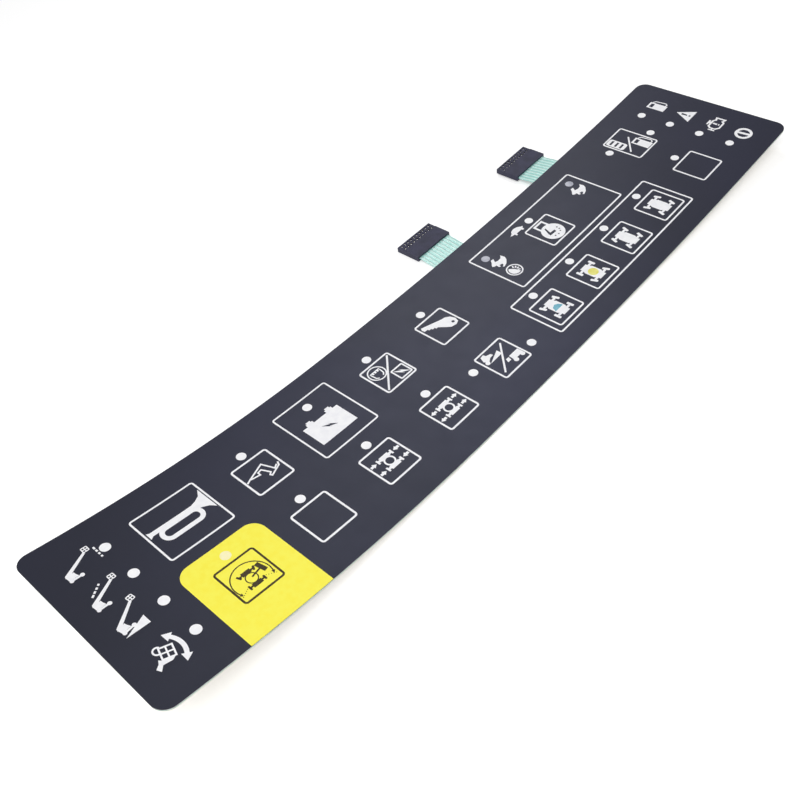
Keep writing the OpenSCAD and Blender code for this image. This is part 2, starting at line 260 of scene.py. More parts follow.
def boxLoop(x, y, w, d):
    left, right, low, high = x - w / 2, x + w / 2, y - d / 2, y + d / 2
    return [(left, low), (right, low), (right, high), (left, high)]


def arcPoints(x, y, radius, start, end, steps):
    angles = [math.radians(start + (end - start) * i / steps) for i in range(steps + 1)]
    return [(x + radius * math.cos(a), y + radius * math.sin(a)) for a in angles]


def discLoop(x, y, radius, steps=40):
    return arcPoints(x, y, radius, 0, 360, steps)[:-1]


def roundLoop(x, y, w, d, radius, steps=7):
    points = []
    for sx, sy, start in ((1, 1, 0), (-1, 1, 90), (-1, -1, 180), (1, -1, 270)):
        midX, midY = x + sx * (w / 2 - radius), y + sy * (d / 2 - radius)
        points += arcPoints(midX, midY, radius, start, start + 90, steps)
    return points


# outline of a line of some width along open points, with mitred corners
def lineLoop(points, width):
    left, right = [], []
    last = len(points) - 1
    for i, (x, y) in enumerate(points):
        behind, ahead = points[max(i - 1, 0)], points[min(i + 1, last)]
        first = Vector((x - behind[0], y - behind[1]))
        second = Vector((ahead[0] - x, ahead[1] - y))
        first, second = first if i else second, second if i < last else first
        first, second = first.normalized(), second.normalized()
        middle = (first + second).normalized()
        reach = width / 2 / max(mitreLimit, middle.dot(first))
        left.append((x - middle.y * reach, y + middle.x * reach))
        right.append((x + middle.y * reach, y - middle.x * reach))
    return left + right[::-1]


def ring(x, y, outer, inner):
    return [discLoop(x, y, outer), discLoop(x, y, inner)]


def frameLoops(x, y, w, d, width=1.0, radius=1.2):
    outer = roundLoop(x, y, w + width, d + width, radius + width / 2)
    return [outer, roundLoop(x, y, w - width, d - width, radius - width / 2)]


# patches of a sign moved to their place and turned in degrees
def placed(patches, x, y, turn=0):
    c, s = math.cos(math.radians(turn)), math.sin(math.radians(turn))
    moved = []
    for kind, loops in patches:
        spots = [[(x + c * u - s * v, y + s * u + c * v) for u, v in loop] for loop in loops]
        moved.append((kind, spots))
    return moved


# Solids on the bow


# radius and centre of the arc on either side of the place where the tighter left end starts
def bowArc(left):
    joint = -sheet["endFrom"] / sheet["bendRadius"]
    radius = sheet["endRadius"] if left else sheet["bendRadius"]
    shift = sheet["bendRadius"] - radius
    return joint, radius, shift * math.sin(joint), sheet["bendRadius"] - shift * math.cos(joint)


# a point that is given along the bow, across it and above its back
def bowPoint(along, across, height):
    left = along < -sheet["endFrom"]
    joint, radius, midX, midZ = bowArc(left)
    slope = joint + (along + sheet["endFrom"]) / radius
    reach = radius - height
    return Vector((midX + reach * math.sin(slope), across, midZ - reach * math.cos(slope))) * mm


# a point that is given in plan, as where the outline is cut straight down
def planPoint(x, across, height):
    joint = bowArc(False)[0]
    left = x < (sheet["bendRadius"] - height) * math.sin(joint)
    joint, radius, midX, midZ = bowArc(left)
    return Vector((x, across, midZ - math.sqrt((radius - height) ** 2 - (x - midX) ** 2))) * mm


# triangles of overlapping flat patches joined into one area
# a patch is an outline and its holes
def joinPatches(patches):
    points, loops, owners = [], [], []
    for patch in patches:
        owners.append(range(len(loops), len(loops) + len(patch)))
        for loop in patch:
            area = sum(a[0] * b[1] - b[0] * a[1] for a, b in zip(loop, loop[1:] + loop[:1]))
            loops.append(list(range(len(points), len(points) + len(loop))))
            points += [Vector(p) for p in (loop if area > 0 else loop[::-1])]
    joined = delaunay_2d_cdt(points, [], loops, 1, closeEnough)
    corners, triangles, sources = joined[0], joined[2], joined[5]
    kept = []
    for triangle, inside in zip(triangles, sources):
        if any(own[0] in inside and not set(own[1:]) & set(inside) for own in owners):
            kept.append(triangle)
    return corners, kept


# closed solid between two heights over flat patches
def stamp(mesh, patches, low, high):
    corners, triangles = joinPatches(patches)
    used = sorted({i for triangle in triangles for i in triangle})
    tops = {i: mesh.verts.new((*corners[i], high)) for i in used}
    bases = {i: mesh.verts.new((*corners[i], low)) for i in used}
    sides = {pair for t in triangles for pair in zip(t, (*t[1:], t[0]))}
    for triangle in triangles:
        mesh.faces.new([tops[i] for i in triangle])
        mesh.faces.new([bases[i] for i in reversed(triangle)])
    for a, b in sorted(sides):
        if (b, a) not in sides:
            mesh.faces.new((bases[a], bases[b], tops[b], tops[a]))


# cuts a flat solid into short lengths so that it can follow the bow, and bends it
def layOnBow(mesh, place):
    step = sheet["cutEvery"]
    along = [v.co.x for v in mesh.verts]
    first, last = math.floor(min(along) / step) + 1, math.ceil(max(along) / step)
    for i in range(first, last):
        parts = mesh.verts[:] + mesh.edges[:] + mesh.faces[:]
        bmesh.ops.bisect_plane(
            mesh, geom=parts, dist=closeEnough, plane_co=(i * step, 0, 0), plane_no=(1, 0, 0)
        )
    for vert in mesh.verts:
        vert.co = place(*vert.co)


def addPiece(name, mesh, finish):
    bmesh.ops.recalc_face_normals(mesh, faces=mesh.faces[:])
    data = bpy.data.meshes.new(name)
    mesh.to_mesh(data)
    mesh.free()
    data.shade_smooth()
    data.set_sharp_from_angle(angle=math.radians(sharpAngle))
    data.materials.append(finishes[finish])
    piece = bpy.data.objects.new(name, data)
    bpy.context.scene.collection.objects.link(piece)
    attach(piece, "root")
    return piece


# a piece of flat patches between two heights, bent with the sheet
def bowedPiece(name, patches, heights, finish, place=bowPoint):
    mesh = bmesh.new()
    stamp(mesh, patches, *heights)
    layOnBow(mesh, place)
    return addPiece(name, mesh, finish)


# Film, liner and ink fields

# from and to above the back of the sheet: a print, a mark on the film, and a mark over a print
ink = {"print": (1.22, 1.27), "mark": (1.22, 1.29), "over": (1.27, 1.29)}

tips = [bowPoint(side * sheet["length"] / 2, 0, 0).x / mm for side in (-1, 1)]
planLeft, planRight = round(tips[0], 2), round(tips[1], 2)
planMiddle, planLength = (planLeft + planRight) / 2, planRight - planLeft
outline = roundLoop(planMiddle, 0, planLength, sheet["width"], sheet["corner"], 12)
film = bowedPiece("overlayFilm", [[outline]], sheet["film"], "film", planPoint)
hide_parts("graphic_overlay")
liner = bowedPiece("releaseLiner", [[outline]], sheet["liner"], "liner", planPoint)
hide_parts("release_liner")

cols, steers = layout["columns"], layout["steers"]
upper, lower = layout["upper"], layout["lower"]
steerMid = (steers[0] + steers[3]) / 2
keySide = 20.3

# middle, size and sometimes the line width of the frames that aren't plain keys
groupFrames = {
    "horn": (cols[0], upper + 4, 33.2, 29.9, 0.9),
    "battery": (cols[2], upper + 2.3, 34.5, 37.3, 0.9),
    "fuelPair": (layout["fuel"], upper + 5.8, 19.6, 26.0),
    "speedGroup": (steerMid, upper + 2.3, 95.2, 37.6),
    "steerGroup": (steerMid, lower + 3, 129.1, 32.2),
}
keyFrames = list(groupFrames.values())
keyFrames += [(x, upper, keySide, keySide) for x in (cols[1], cols[3], cols[4], steerMid)]
keyFrames += [(x, lower, keySide, keySide) for x in cols[1:] + steers + [layout["fuel"]]]
frameLines = [frameLoops(*f) for f in keyFrames]
frames = bowedPiece("keyFrames", frameLines, ink["print"], "white")
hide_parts("frame_print")

field = {"width": 43.0, "top": -1.9, "corner": 7.0}
half, corner = field["width"] / 2, field["corner"]
nearEdge = -sheet["width"] / 2
fieldLoop = [(cols[0] - half, nearEdge), (cols[0] + half, nearEdge)]
fieldLoop += arcPoints(cols[0] + half - corner, field["top"] - corner, corner, 0, 90, 10)
fieldLoop += arcPoints(cols[0] - half + corner, field["top"] - corner, corner, 90, 180, 10)
yellow = bowedPiece("yellowField", [[fieldLoop]], ink["print"], "yellow")
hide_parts("yellow_field")
enableLine = frameLoops(cols[0], lower, keySide, keySide)
enable = bowedPiece("enableFrame", [enableLine], ink["over"], "dark")
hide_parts("enable_frame")

# LED windows, with those beside a key by how far they stand from its middle
leds = {
    "radius": 2.45,
    "pairOut": 17,
    "pairUp": 5.2,
    "fuelOut": 14.7,
    "fuelLow": 0.6,
    "fuelHigh": 11,
    "greyOut": 40.5,
}


def ledDiscs(spots):
    return [[discLoop(x, y, leds["radius"])] for x, y in spots]


upperLed, lowerLed = upper + layout["ledUp"], lower + layout["ledUp"]
endRows = [upperLed - i * layout["endLedPitch"] for i in range(4)]
whiteLeds = [(x, y) for x in (layout["leftLeds"], layout["rightLeds"]) for y in endRows]
whiteLeds += [(x, upperLed) for x in cols[1:] + [steerMid]]
whiteLeds += [(x, lowerLed) for x in cols[1:4] + steers + [layout["fuel"]]]
whiteLeds += [(cols[4] + side * leds["pairOut"], lower - side * leds["pairUp"]) for side in (1, -1)]
whiteLeds.append((layout["fuel"] + leds["fuelOut"], upper + leds["fuelLow"]))
whiteLeds.append((layout["fuel"] - leds["fuelOut"], upper + leds["fuelHigh"]))
greyLeds = [(steerMid + side * leds["greyOut"], upperLed) for side in (-1, 1)]
windows = bowedPiece("ledWindows", ledDiscs(whiteLeds), ink["mark"], "window")
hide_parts("window_print")
bowedPiece("greyWindows", ledDiscs(greyLeds), ink["mark"], "greyWindow")
bowedPiece("paleWindow", ledDiscs([(cols[0], lowerLed)]), ink["mark"], "paleWindow")
print("film and ink fields laid")


# Signs, each a list of an ink and its loops, drawn upright about its own middle


def whites(*shapes):
    return [("white", loops) for loops in shapes]


def hornSign():
    bell = [(8, 4), (10.5, 4.7), (13.4, 6.3), (15.6, 9.6)]
    bell += [(15.6, -4.4), (13.4, -1.7), (10.8, -0.3), (8, 0.6)]
    mouth = [(-15.4, 4.6), (-13.8, 3.8), (-13.8, 1.5), (-15.4, 0.4)]
    loop = [roundLoop(-1, -1.8, 22.2, 8.8, 4.3, 10), roundLoop(-1, -1.8, 17.6, 4.2, 2.0, 10)]
    return whites([lineLoop([(-14, 2.7), (8.2, 2.7)], 2.4)], loop, [bell], [mouth])


boltLoop = [(-4.2, 2.0), (0.7, 0.2), (-0.3, 1.4), (4.2, -2.0), (-0.7, -0.4), (0.3, -1.5)]


def batterySign():
    bolt = [(0.85 * x - 1.2, 1.2 * y - 4.4) for x, y in boltLoop]
    patches = whites([boxLoop(-1, -4.5, 22.6, 14.2), bolt])
    for x in (-7, 5.4):
        patches += whites([boxLoop(x, 3.3, 4.2, 1.6)], [boxLoop(x, 4.5, 2.6, 1.2)])
    return patches


# a folding boom drawn in outline, with its basket at the right
def boomArmSign():
    top = [(-9.4, -0.6), (-6.8, 0.6), (2.6, 4.2), (5.3, -2.4), (7.5, -1.0)]
    under = [(-6.8, 0.3), (-1.9, -0.6), (-1.8, 1.1), (0.4, 1.5), (2.5, -2.8)]
    under += [(1.2, -3.8), (1.7, -4.8), (7.9, -2.2), (8.8, -0.3)]
    return whites([lineLoop(top, 0.8)], [lineLoop(under, 0.8)])


def slashPatch(reach=8.8):
    return whites([lineLoop([(-reach, -reach), (reach, reach)], 1.0)])


# a closed hand in a ring, and a bolt in a box
def selectSign():
    patches = slashPatch() + whites(ring(-3.9, 3.9, 5.1, 4.4))
    for i in range(4):
        x = -6.3 + i * 1.6
        finger = [(x - 0.6, 4.4), (x - 0.5, 5.7), (x + 0.5, 5.7), (x + 0.6, 4.4)]
        patches += whites([lineLoop(finger, 0.6)])
    patches += whites([lineLoop([(-6.9, 4.6), (-6.6, 1.6), (-5.4, 0.6)], 0.7)])
    patches += whites([lineLoop([(-0.9, 4.6), (-1.3, 1.8), (-2.6, 0.6)], 0.7)])
    bolt = [(4.9 + 0.78 * x, -4.8 + 1.5 * y) for x, y in boltLoop]
    return patches + whites(frameLoops(4.9, -4.8, 7.6, 7.4, 0.9, 0.5), [bolt])


def keySign():
    head = [(3.4, 3.6), (6.0, 3.0), (8.2, 1.2), (9.0, -1.6), (8.2, -4.2)]
    head += [(5.8, -5.2), (2.6, -4.4), (0.8, -2.4), (-0.6, -0.4)]
    teeth = [(-2.0, 1.2), (-3.0, 1.1), (-3.4, 2.3), (-4.6, 2.2), (-5.0, 3.3)]
    teeth += [(-6.2, 3.2), (-6.6, 4.3), (-8.6, 4.4), (-8.9, 6.2), (-8.0, 7.6)]
    return whites([head + teeth, discLoop(6.2, -2.4, 0.9, 16)])


# a machine on wheels seen from the side, with its boom up to a basket
def liftSign():
    boom = [(-5.8, -2.0), (-5.4, -0.7), (6.9, 5.9), (7.4, 4.9), (-3.0, -1.3), (-3.2, -2.2)]
    body = [(-5.6, -1.4), (-1.7, -0.9), (-1.5, -2.3), (-1.0, -3.8), (-5.4, -4.0)]
    track = lineLoop([(-4.7, -4.5), (0.1, -4.4)], 1.0)
    wheels = [[discLoop(0.1, -4.4, 1.0, 16)], [discLoop(-4.7, -4.6, 0.9, 16)]]
    basket = frameLoops(8.2, 6.6, 2.6, 2.5, 0.5, 0.4)
    upright = lineLoop([(8.2, 5.4), (8.2, 7.8)], 0.45)
    rail = lineLoop([(7.0, 6.6), (9.4, 6.6)], 0.45)
    return whites([boom], [body], [track], *wheels, basket, [upright], [rail])


# short dashes that follow a straight line, each a little shorter than the last
def dashRow(start, end, count=4, width=0.9):
    a, b = Vector(start), Vector(end)
    patches = []
    for i in range(count):
        first = a.lerp(b, i / count)
        last = a.lerp(b, (i + 0.72 - 0.08 * i) / count)
        patches += whites([lineLoop([tuple(first), tuple(last)], width)])
    return patches


def slopeLiftSign():
    wedge = [(-6.0, -5.6), (5.0, -5.6), (5.0, -0.8)]
    return placed(liftSign(), -0.9, 2.0, 8) + whites([wedge])


def basketSign():
    grid = [boxLoop(0, 0, 6.0, 6.2)]
    grid += [boxLoop(x, y, 1.9, 2.0) for x in (-1.3, 1.3) for y in (-1.35, 1.35)]
    patches = placed(whites(grid), 2.2, 0.4, -18)
    patches += whites([lineLoop(arcPoints(-0.3, 3.2, 1.7, 30, 265, 14), 0.75)])
    foot = [(-1.4, -1.6), (3.2, -3.2), (1.6, -4.0), (-0.8, -3.6), (-2.4, -3.4)]
    foot += [(-4.4, -5.4), (-5.4, -3.4), (-3.4, -2.0), (-2.4, -0.4)]
    return patches + whites([foot])


# directions outwards and along an arc, at an angle in degrees
def arcWays(angle, way):
    a = math.radians(angle)
    return Vector((math.cos(a), math.sin(a))), Vector((-math.sin(a), math.cos(a))) * way


def swingArrow(radius=9.5, spread=40, width=1.9):
    patches = whites([lineLoop(arcPoints(0, 0, radius, 6 - spread, spread - 6, 20), width)])
    for way in (-1, 1):
        out, along = arcWays(way * (spread - 7), way)
        middle = out * radius
        corners = [middle + along * 3.6, middle + out * width * 1.15, middle - out * width * 1.15]
        patches += whites([[tuple(c) for c in corners]])
    return patches


# a machine on wheels seen from above, facing up, with its wheels turned and a coloured middle
def steerSign(frontTurn, rearTurn, middle="white"):
    trunk = [(-2.6, 6.2), (2.6, 6.2), (2.6, 4.0), (3.6, 2.6), (3.6, -3.2), (2.6, -4.6)]
    trunk += [(2.6, -6.8), (-2.6, -6.8), (-2.6, -4.6), (-3.6, -3.2), (-3.6, 2.6), (-2.6, 4.0)]
    hood = [(-3.2, -1.9), (3.2, -1.9), (2.2, 0.6), (0.4, 1.7), (-2.0, 0.8)]
    marks = {"sky": hood, "lemon": discLoop(0, -0.4, 2.9, 24)}
    patches = whites([trunk])
    if middle in marks:
        patches[0][1].append(marks[middle])
        patches.append((middle, [marks[middle]]))
    for y, turn in ((4.4, frontTurn), (-4.8, rearTurn)):
        patches += whites([boxLoop(0, y, 9.4, 1.4)])
        for x in (-5.6, 5.6):
            patches += placed(whites([roundLoop(0, 0, 1.6, 4.2, 0.5, 3)]), x, y, turn)
    return patches


# two axles with arrows that point out, or in where way is negative
def axleSign(way):
    tip, tail = (9.3, 7.3) if way > 0 else (5.6, 7.6)
    stem = (5.7, 7.5) if way > 0 else (7.4, 9.2)
    patches = whites(ring(0, 0, 3.0, 2.1))
    for side in (-1, 1):
        y = side * 3.1
        patches += whites([boxLoop(0, side * 3.4, 5.6, 2.4)])
        for end in (-1, 1):
            patches += whites([boxLoop(end * 3.5, side * 3.2, 1.6, 1.3)])
            patches += whites([boxLoop(end * 4.4, side * 3.2, 1.0, 2.8)])
            patches += whites([[(end * tip, y), (end * tail, y + 1.4), (end * tail, y - 1.4)]])
            patches += whites([boxLoop(end * sum(stem) / 2, y, stem[1] - stem[0], 1.4)])
    return patches


# one machine on a ramp and one on level ground
def crawlerPair():
    climber = [(-8.4, 5.4), (-7.0, 8.6), (-4.6, 9.0), (-4.2, 7.4)]
    climber += [(-1.6, 6.4), (-1.4, 5.0), (-4.0, 4.8), (-6.4, 3.4)]
    ramp = [(-6.9, 2.0), (2.2, 2.2), (2.2, 5.6)]
    patches = slashPatch(7.4) + whites([climber], [ramp], [discLoop(-7.6, 3.4, 1.3, 16)])
    body = [(2.6, -1.9), (9.4, -1.9), (9.4, -5.6), (2.2, -5.6)]
    nose = [(-1.0, -4.3), (-0.2, -2.1), (1.9, -2.1), (1.3, -4.3)]
    wheels = [[discLoop(3.0, -6.2, 1.4, 16)], [discLoop(8.2, -6.2, 1.3, 16)]]
    return patches + whites([body], [nose], *wheels)


def speedSign():
    needle = [(-1.7, 2.6), (-0.7, 2.6), (-2.2, -1.7), (1.2, -2.1)]
    needle += [(0.9, -3.7), (-4.2, -3.4), (-3.8, -1.6)]
    spots = [(3.9, -1.9), (3.6, -3.8), (2.5, -5.3), (-0.3, -6.2), (-2.6, -5.6)]
    dots = [discLoop(x, y, 0.5, 10) for x, y in spots]
    neck = [(-3.7, 3.2), (-3.7, 8.2), (3.0, 8.2), (3.0, 3.2)]
    return whites([discLoop(-0.2, -2.3, 6.9), needle] + dots, [lineLoop(neck, 1.3)])


# a fuel pump with a window at its top and a hose at its side
def tankSign():
    hose = lineLoop([(1.8, 4.6), (3.4, 3.2), (4.0, -3.4), (3.0, -4.6), (1.6, -4.4)], 0.7)
    return whites([boxLoop(-1.3, 0, 5.8, 11.8), boxLoop(-1.3, 3.5, 3.7, 2.3)], [hose])


# a gas bottle with slots
def bottleSign():
    slots = [boxLoop(0, y, 4.4, 1.4) for y in (-3.3, 0.1, 3.5)]
    return whites([roundLoop(0, 0, 6.4, 12.4, 1.6, 5)] + slots)


def fuelPairSign():
    slash = whites([lineLoop([(-7.4, -5.2), (4.6, 4.2)], 1.0)])
    return slash + placed(bottleSign(), -5.5, 6.0) + placed(tankSign(), 4.6, -6.1)


def warnSign():
    mark = [(-0.8, 3.0), (0.8, 3.0), (0.5, -0.8), (-0.5, -0.8)]
    return whites([[(0, 6.4), (5.7, -4.4), (-5.7, -4.4)], mark, boxLoop(0, -2.4, 1.3, 1.2)])


def engineSign():
    top = [(-4.6, -0.6), (-4.6, 1.2), (-3.2, 2.8), (2.6, 2.8)]
    top += [(3.8, 1.6), (5.9, 2.2), (5.9, -0.6)]
    base = [(5.9, 0.4), (5.9, -3.4), (3.8, -2.6), (2.8, -3.9)]
    base += [(-2.6, -3.9), (-4.6, -2.2), (-4.6, 0.4)]
    block = [[lineLoop(top, 1.1)], [lineLoop(base, 1.1)]]
    mark = [[boxLoop(0.2, 0.4, 1.3, 2.8)], [boxLoop(0.2, -2.1, 1.3, 0.9)]]
    stub = [[lineLoop([(-6.3, 1.6), (-6.3, -2.6)], 1.0)], [boxLoop(-5.4, -0.5, 1.8, 0.9)]]
    cap = [[boxLoop(0, 4.5, 4.6, 1.0)], [boxLoop(0, 3.6, 2.2, 1.2)]]
    return whites(*block, *mark, *stub, *cap)


def stopSign():
    return whites(ring(0, 0, 5.2, 3.5), [lineLoop([(-0.3, 3.9), (0.3, -3.9)], 1.7)])


def rabbitSign():
    back = [(-5.0, -0.2), (-3.7, 1.2), (-2.9, 1.7), (-1.2, 3.7), (0.6, 3.3)]
    back += [(-0.9, 1.0), (1.1, 0.3), (3.4, 0.5), (5.4, 2.1)]
    hind = [(5.7, -0.8), (4.6, -2.7), (2.0, -4.7), (-0.8, -5.6), (-1.5, -4.9)]
    hind += [(0.4, -3.9), (0.2, -3.0), (-1.6, -2.6)]
    fore = [(-1.9, -3.9), (-3.0, -3.4), (-2.7, -1.4), (-4.0, -1.2)]
    return whites([back + hind + fore])


def turtleSign():
    shell = [(-6.1, -0.3), (-3.9, 0.6), (-2.6, 1.9), (0, 2.6), (2.6, 2.0), (4.2, 0.6)]
    feet = [(5.6, -0.3), (4.4, -0.9), (3.9, -2.6), (2.9, -2.4), (2.6, -1.5), (-1.8, -1.5)]
    feet += [(-2.2, -2.8), (-3.2, -2.5), (-3.1, -1.1), (-4.7, -0.8)]
    return whites([shell + feet])


def dialSign():
    gauge = arcPoints(0, 0, 3.4, 115, 295, 20) + [(0.6, 0.2)]
    patches = whites(ring(0, 0, 4.8, 4.0), [gauge])
    for turn in (-42, -8, 26, 60):
        patches += placed(whites([boxLoop(2.5, 0, 1.6, 0.8)]), 0, 0, turn)
    return patches


# the machine from above inside a swing arc, in dark ink on the yellow field
def swingSign():
    swing = {"middle": Vector((-0.3, -2.4)), "radius": 9.0, "ends": (-18, 198)}
    arc = arcPoints(*swing["middle"], swing["radius"], *swing["ends"], 44)
    shapes = [[lineLoop(arc, 0.55)]]
    for angle, way in zip(swing["ends"], (-1, 1)):
        out, along = arcWays(angle, way)
        point = swing["middle"] + out * swing["radius"]
        tip = [point + along * 1.5, point + out * 0.9, point - out * 0.9]
        shapes.append([[tuple(c) for c in tip]])
    for side in (-1, 1):
        for i in range(5):
            shapes.append([discLoop(side * (4.9 + i * 0.95) - 0.2, -5.0 - i * 0.5, 0.22, 8)])
    shapes.append(ring(-0.2, -1.9, 2.9, 2.4))
    shapes += [[boxLoop(-0.2, 1.7, 4.6, 2.2)], [boxLoop(-0.2, -5.5, 4.8, 2.2)]]
    shapes.append([lineLoop([(0.2, -1.6), (5.6, -0.4)], 0.8)])
    shapes.append([lineLoop([(5.5, 2.5), (6.7, -2.9)], 2.2)])
    for x, y, turn in ((-4.0, 1.6, 25), (3.6, 1.6, -25), (3.6, -5.4, 0), (-4.0, -5.4, 0)):
        wheel = placed([("dark", [roundLoop(0, 0, 1.0, 2.5, 0.3, 2)])], x, y, turn)
        shapes += [wheel[0][1], [boxLoop(x * 0.76, y, 1.9, 0.9)]]
    return [("dark", loops) for loops in shapes]


# each sign at its place on the sheet
signs = {
    "horn": placed(hornSign(), cols[0], upper + 4),
    "boomArm": placed(boomArmSign(), cols[1], upper),
    "battery": placed(batterySign(), cols[2], upper + 2.3),
    "select": placed(selectSign(), cols[3], upper),
    "key": placed(keySign(), cols[4], upper),
    "axleIn": placed(axleSign(-1), cols[2], lower),
    "axleOut": placed(axleSign(1), cols[3], lower),
    "crawlerPair": placed(crawlerPair(), cols[4], lower),
    "steerFront": placed(steerSign(16, 0, "sky"), steers[0], lower),
    "steerRear": placed(steerSign(0, 20, "lemon"), steers[1], lower),
    "steerCrab": placed(steerSign(-20, -20), steers[2], lower),
    "steerRound": placed(steerSign(16, -20), steers[3], lower),
    "speed": placed(speedSign(), steerMid, upper),
    "rabbitFast": placed(rabbitSign(), 126.1, 23.5),
    "turtle": placed(turtleSign(), 76.8, 31.2),
    "rabbit": placed(rabbitSign(), 49.2, 23.8),
    "dial": placed(dialSign(), 49.2, 12.0),
    "fuelPair": placed(fuelPairSign(), layout["fuel"], upper + 5.8),
    "fuel": placed(tankSign(), 221.5, 27.2),
    "warn": placed(warnSign(), 221.0, 7.2),
    "engine": placed(engineSign(), 220.8, -12.8),
    "stop": placed(stopSign(), 220.2, -31.5),
    "liftFlat": placed(liftSign(), -222.4, 29.1) + dashRow((-211.2, 34.4), (-211.2, 26.2)),
    "liftRise": placed(liftSign(), -223.1, 9.2) + dashRow((-226.2, 11.7), (-219.6, 16.7)),
    "liftSlope": placed(slopeLiftSign(), -222.3, -8.2),
    "basket": placed(basketSign(), -223.5, -29.8) + placed(swingArrow(), -224.5, -29.8),
    "swing": placed(swingSign(), cols[0], lower),
}
for name, patches in signs.items():
    for kind in sorted({p[0] for p in patches}):
        heights = ink["over"] if kind == "dark" else ink["mark"]
        loops = [shape for patchInk, shape in patches if patchInk == kind]
        bowedPiece("sign-" + name + "-" + kind, loops, heights, kind)
print("signs printed:", len(signs))


# Tails: printed conductors repeated across each one by nodes

tails = {
    "run": 11.8,
    "steps": 12,
    "rootHeight": 0.4422,
    "halfThick": 0.065,
    "lines": 10,
    "pitch": 2.54,
    "lineWidth": 1.6,
    "lineThick": 0.02,
    "proud": 0.4,  # share of its thickness by which the middle of a line stands above the film
    # along the sheet, and the two turns of the bend in degrees
    "places": {"a": (39.65, (10.7208, -10.7208)), "b": (132.45, (-9.7111, 9.7111))},
}


def arcEnd(run, turn, share):
    radius = run / math.radians(turn)
    angle = math.radians(turn * share)
    return Vector((0, radius * math.sin(angle), radius * (1 - math.cos(angle))))


# middle of the top face of a tail, from the edge of the sheet to its connector
def tailPath(turns):
    steps, halfRun = tails["steps"], tails["run"] / 2
    lift = tails["halfThick"] + tails["lineThick"] * tails["proud"]
    points = []
    for i in range(steps + 1):
        points.append((arcEnd(halfRun, turns[0], i / steps), turns[0] * i / steps))
    middle = points[-1][0]
    bend = Matrix.Rotation(math.radians(turns[0]), 3, "X")
    for i in range(1, steps + 1):
        heading = turns[0] + turns[1] * i / steps
        points.append((middle + bend @ arcEnd(halfRun, turns[1], i / steps), heading))
    path = []
    for point, heading in points:
        up = Matrix.Rotation(math.radians(heading), 3, "X") @ Vector((0, 0, lift))
        path.append(point + up)
    return path


def bowMatrix(along):
    lift = Matrix.Translation((0, 0, sheet["bendRadius"] * mm))
    turn = Matrix.Rotation(-along / sheet["bendRadius"], 4, "Y")
    return lift @ turn @ lift.inverted()


def traceNodes():
    tree = bpy.data.node_groups.new("tailTraces", "GeometryNodeTree")
    tree.interface.new_socket("Geometry", in_out="INPUT", socket_type="NodeSocketGeometry")
    tree.interface.new_socket("Lines", in_out="INPUT", socket_type="NodeSocketInt")
    for name in ("Pitch", "Line width", "Line thickness"):
        tree.interface.new_socket(name, in_out="INPUT", socket_type="NodeSocketFloat")
    tree.interface.new_socket("Ink", in_out="INPUT", socket_type="NodeSocketMaterial")
    tree.interface.new_socket("Geometry", in_out="OUTPUT", socket_type="NodeSocketGeometry")
    source = addNode(tree, "NodeGroupInput")
    given = source.outputs
    links = {"Width": given["Line width"], "Height": given["Line thickness"]}
    profile = addNode(tree, "GeometryNodeCurvePrimitiveQuadrilateral", None, None, links)
    links = {"Curve": given["Geometry"], "Profile Curve": profile.outputs["Curve"]}
    line = addNode(tree, "GeometryNodeCurveToMesh", None, {"Fill Caps": True}, links)
    # the first line stands half of the row's span to the left
    gaps = addNode(tree, "ShaderNodeMath", {"operation": "SUBTRACT"}, {1: 1.0}, {0: given["Lines"]})
    times = {"operation": "MULTIPLY"}
    span = addNode(tree, "ShaderNodeMath", times, None, {0: gaps.outputs[0], 1: given["Pitch"]})
    first = addNode(tree, "ShaderNodeMath", times, {1: -0.5}, {0: span.outputs[0]})
    start = addNode(tree, "ShaderNodeCombineXYZ", None, None, {"X": first.outputs[0]})
    step = addNode(tree, "ShaderNodeCombineXYZ", None, None, {"X": given["Pitch"]})
    links = {"Count": given["Lines"], "Start Location": start.outputs[0], "Offset": step.outputs[0]}
    row = addNode(tree, "GeometryNodeMeshLine", None, None, links)
    links = {"Points": row.outputs["Mesh"], "Instance": line.outputs["Mesh"]}
    copies = addNode(tree, "GeometryNodeInstanceOnPoints", None, None, links)
    links = {"Geometry": copies.outputs["Instances"]}
    real = addNode(tree, "GeometryNodeRealizeInstances", None, None, links)
    links = {"Geometry": real.outputs["Geometry"], "Material": given["Ink"]}
    inked = addNode(tree, "GeometryNodeSetMaterial", None, None, links)
    addNode(tree, "NodeGroupOutput", None, None, {"Geometry": inked.outputs["Geometry"]})
    return tree


# turns an object with a node tree into a plain mesh piece at its place
def bakeNodes(name, data, tree, inputs, place):
    holder = bpy.data.objects.new(name + "Path", data)
    bpy.context.scene.collection.objects.link(holder)
    modifier = holder.modifiers.new("nodes", "NODES")
    modifier.node_group = tree
    for item in tree.interface.items_tree:
        if item.item_type == "SOCKET" and item.in_out == "INPUT" and item.name in inputs:
            modifier[item.identifier] = inputs[item.name]
    bpy.context.view_layer.update()
    shot = holder.evaluated_get(bpy.context.evaluated_depsgraph_get())
    baked = bpy.data.meshes.new_from_object(shot)
    baked.name = name
    baked.transform(place)
    holder.modifiers.remove(modifier)
    bpy.data.objects.remove(holder)
    piece = bpy.data.objects.new(name, baked)
    bpy.context.scene.collection.objects.link(piece)
    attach(piece, "root")
    return piece


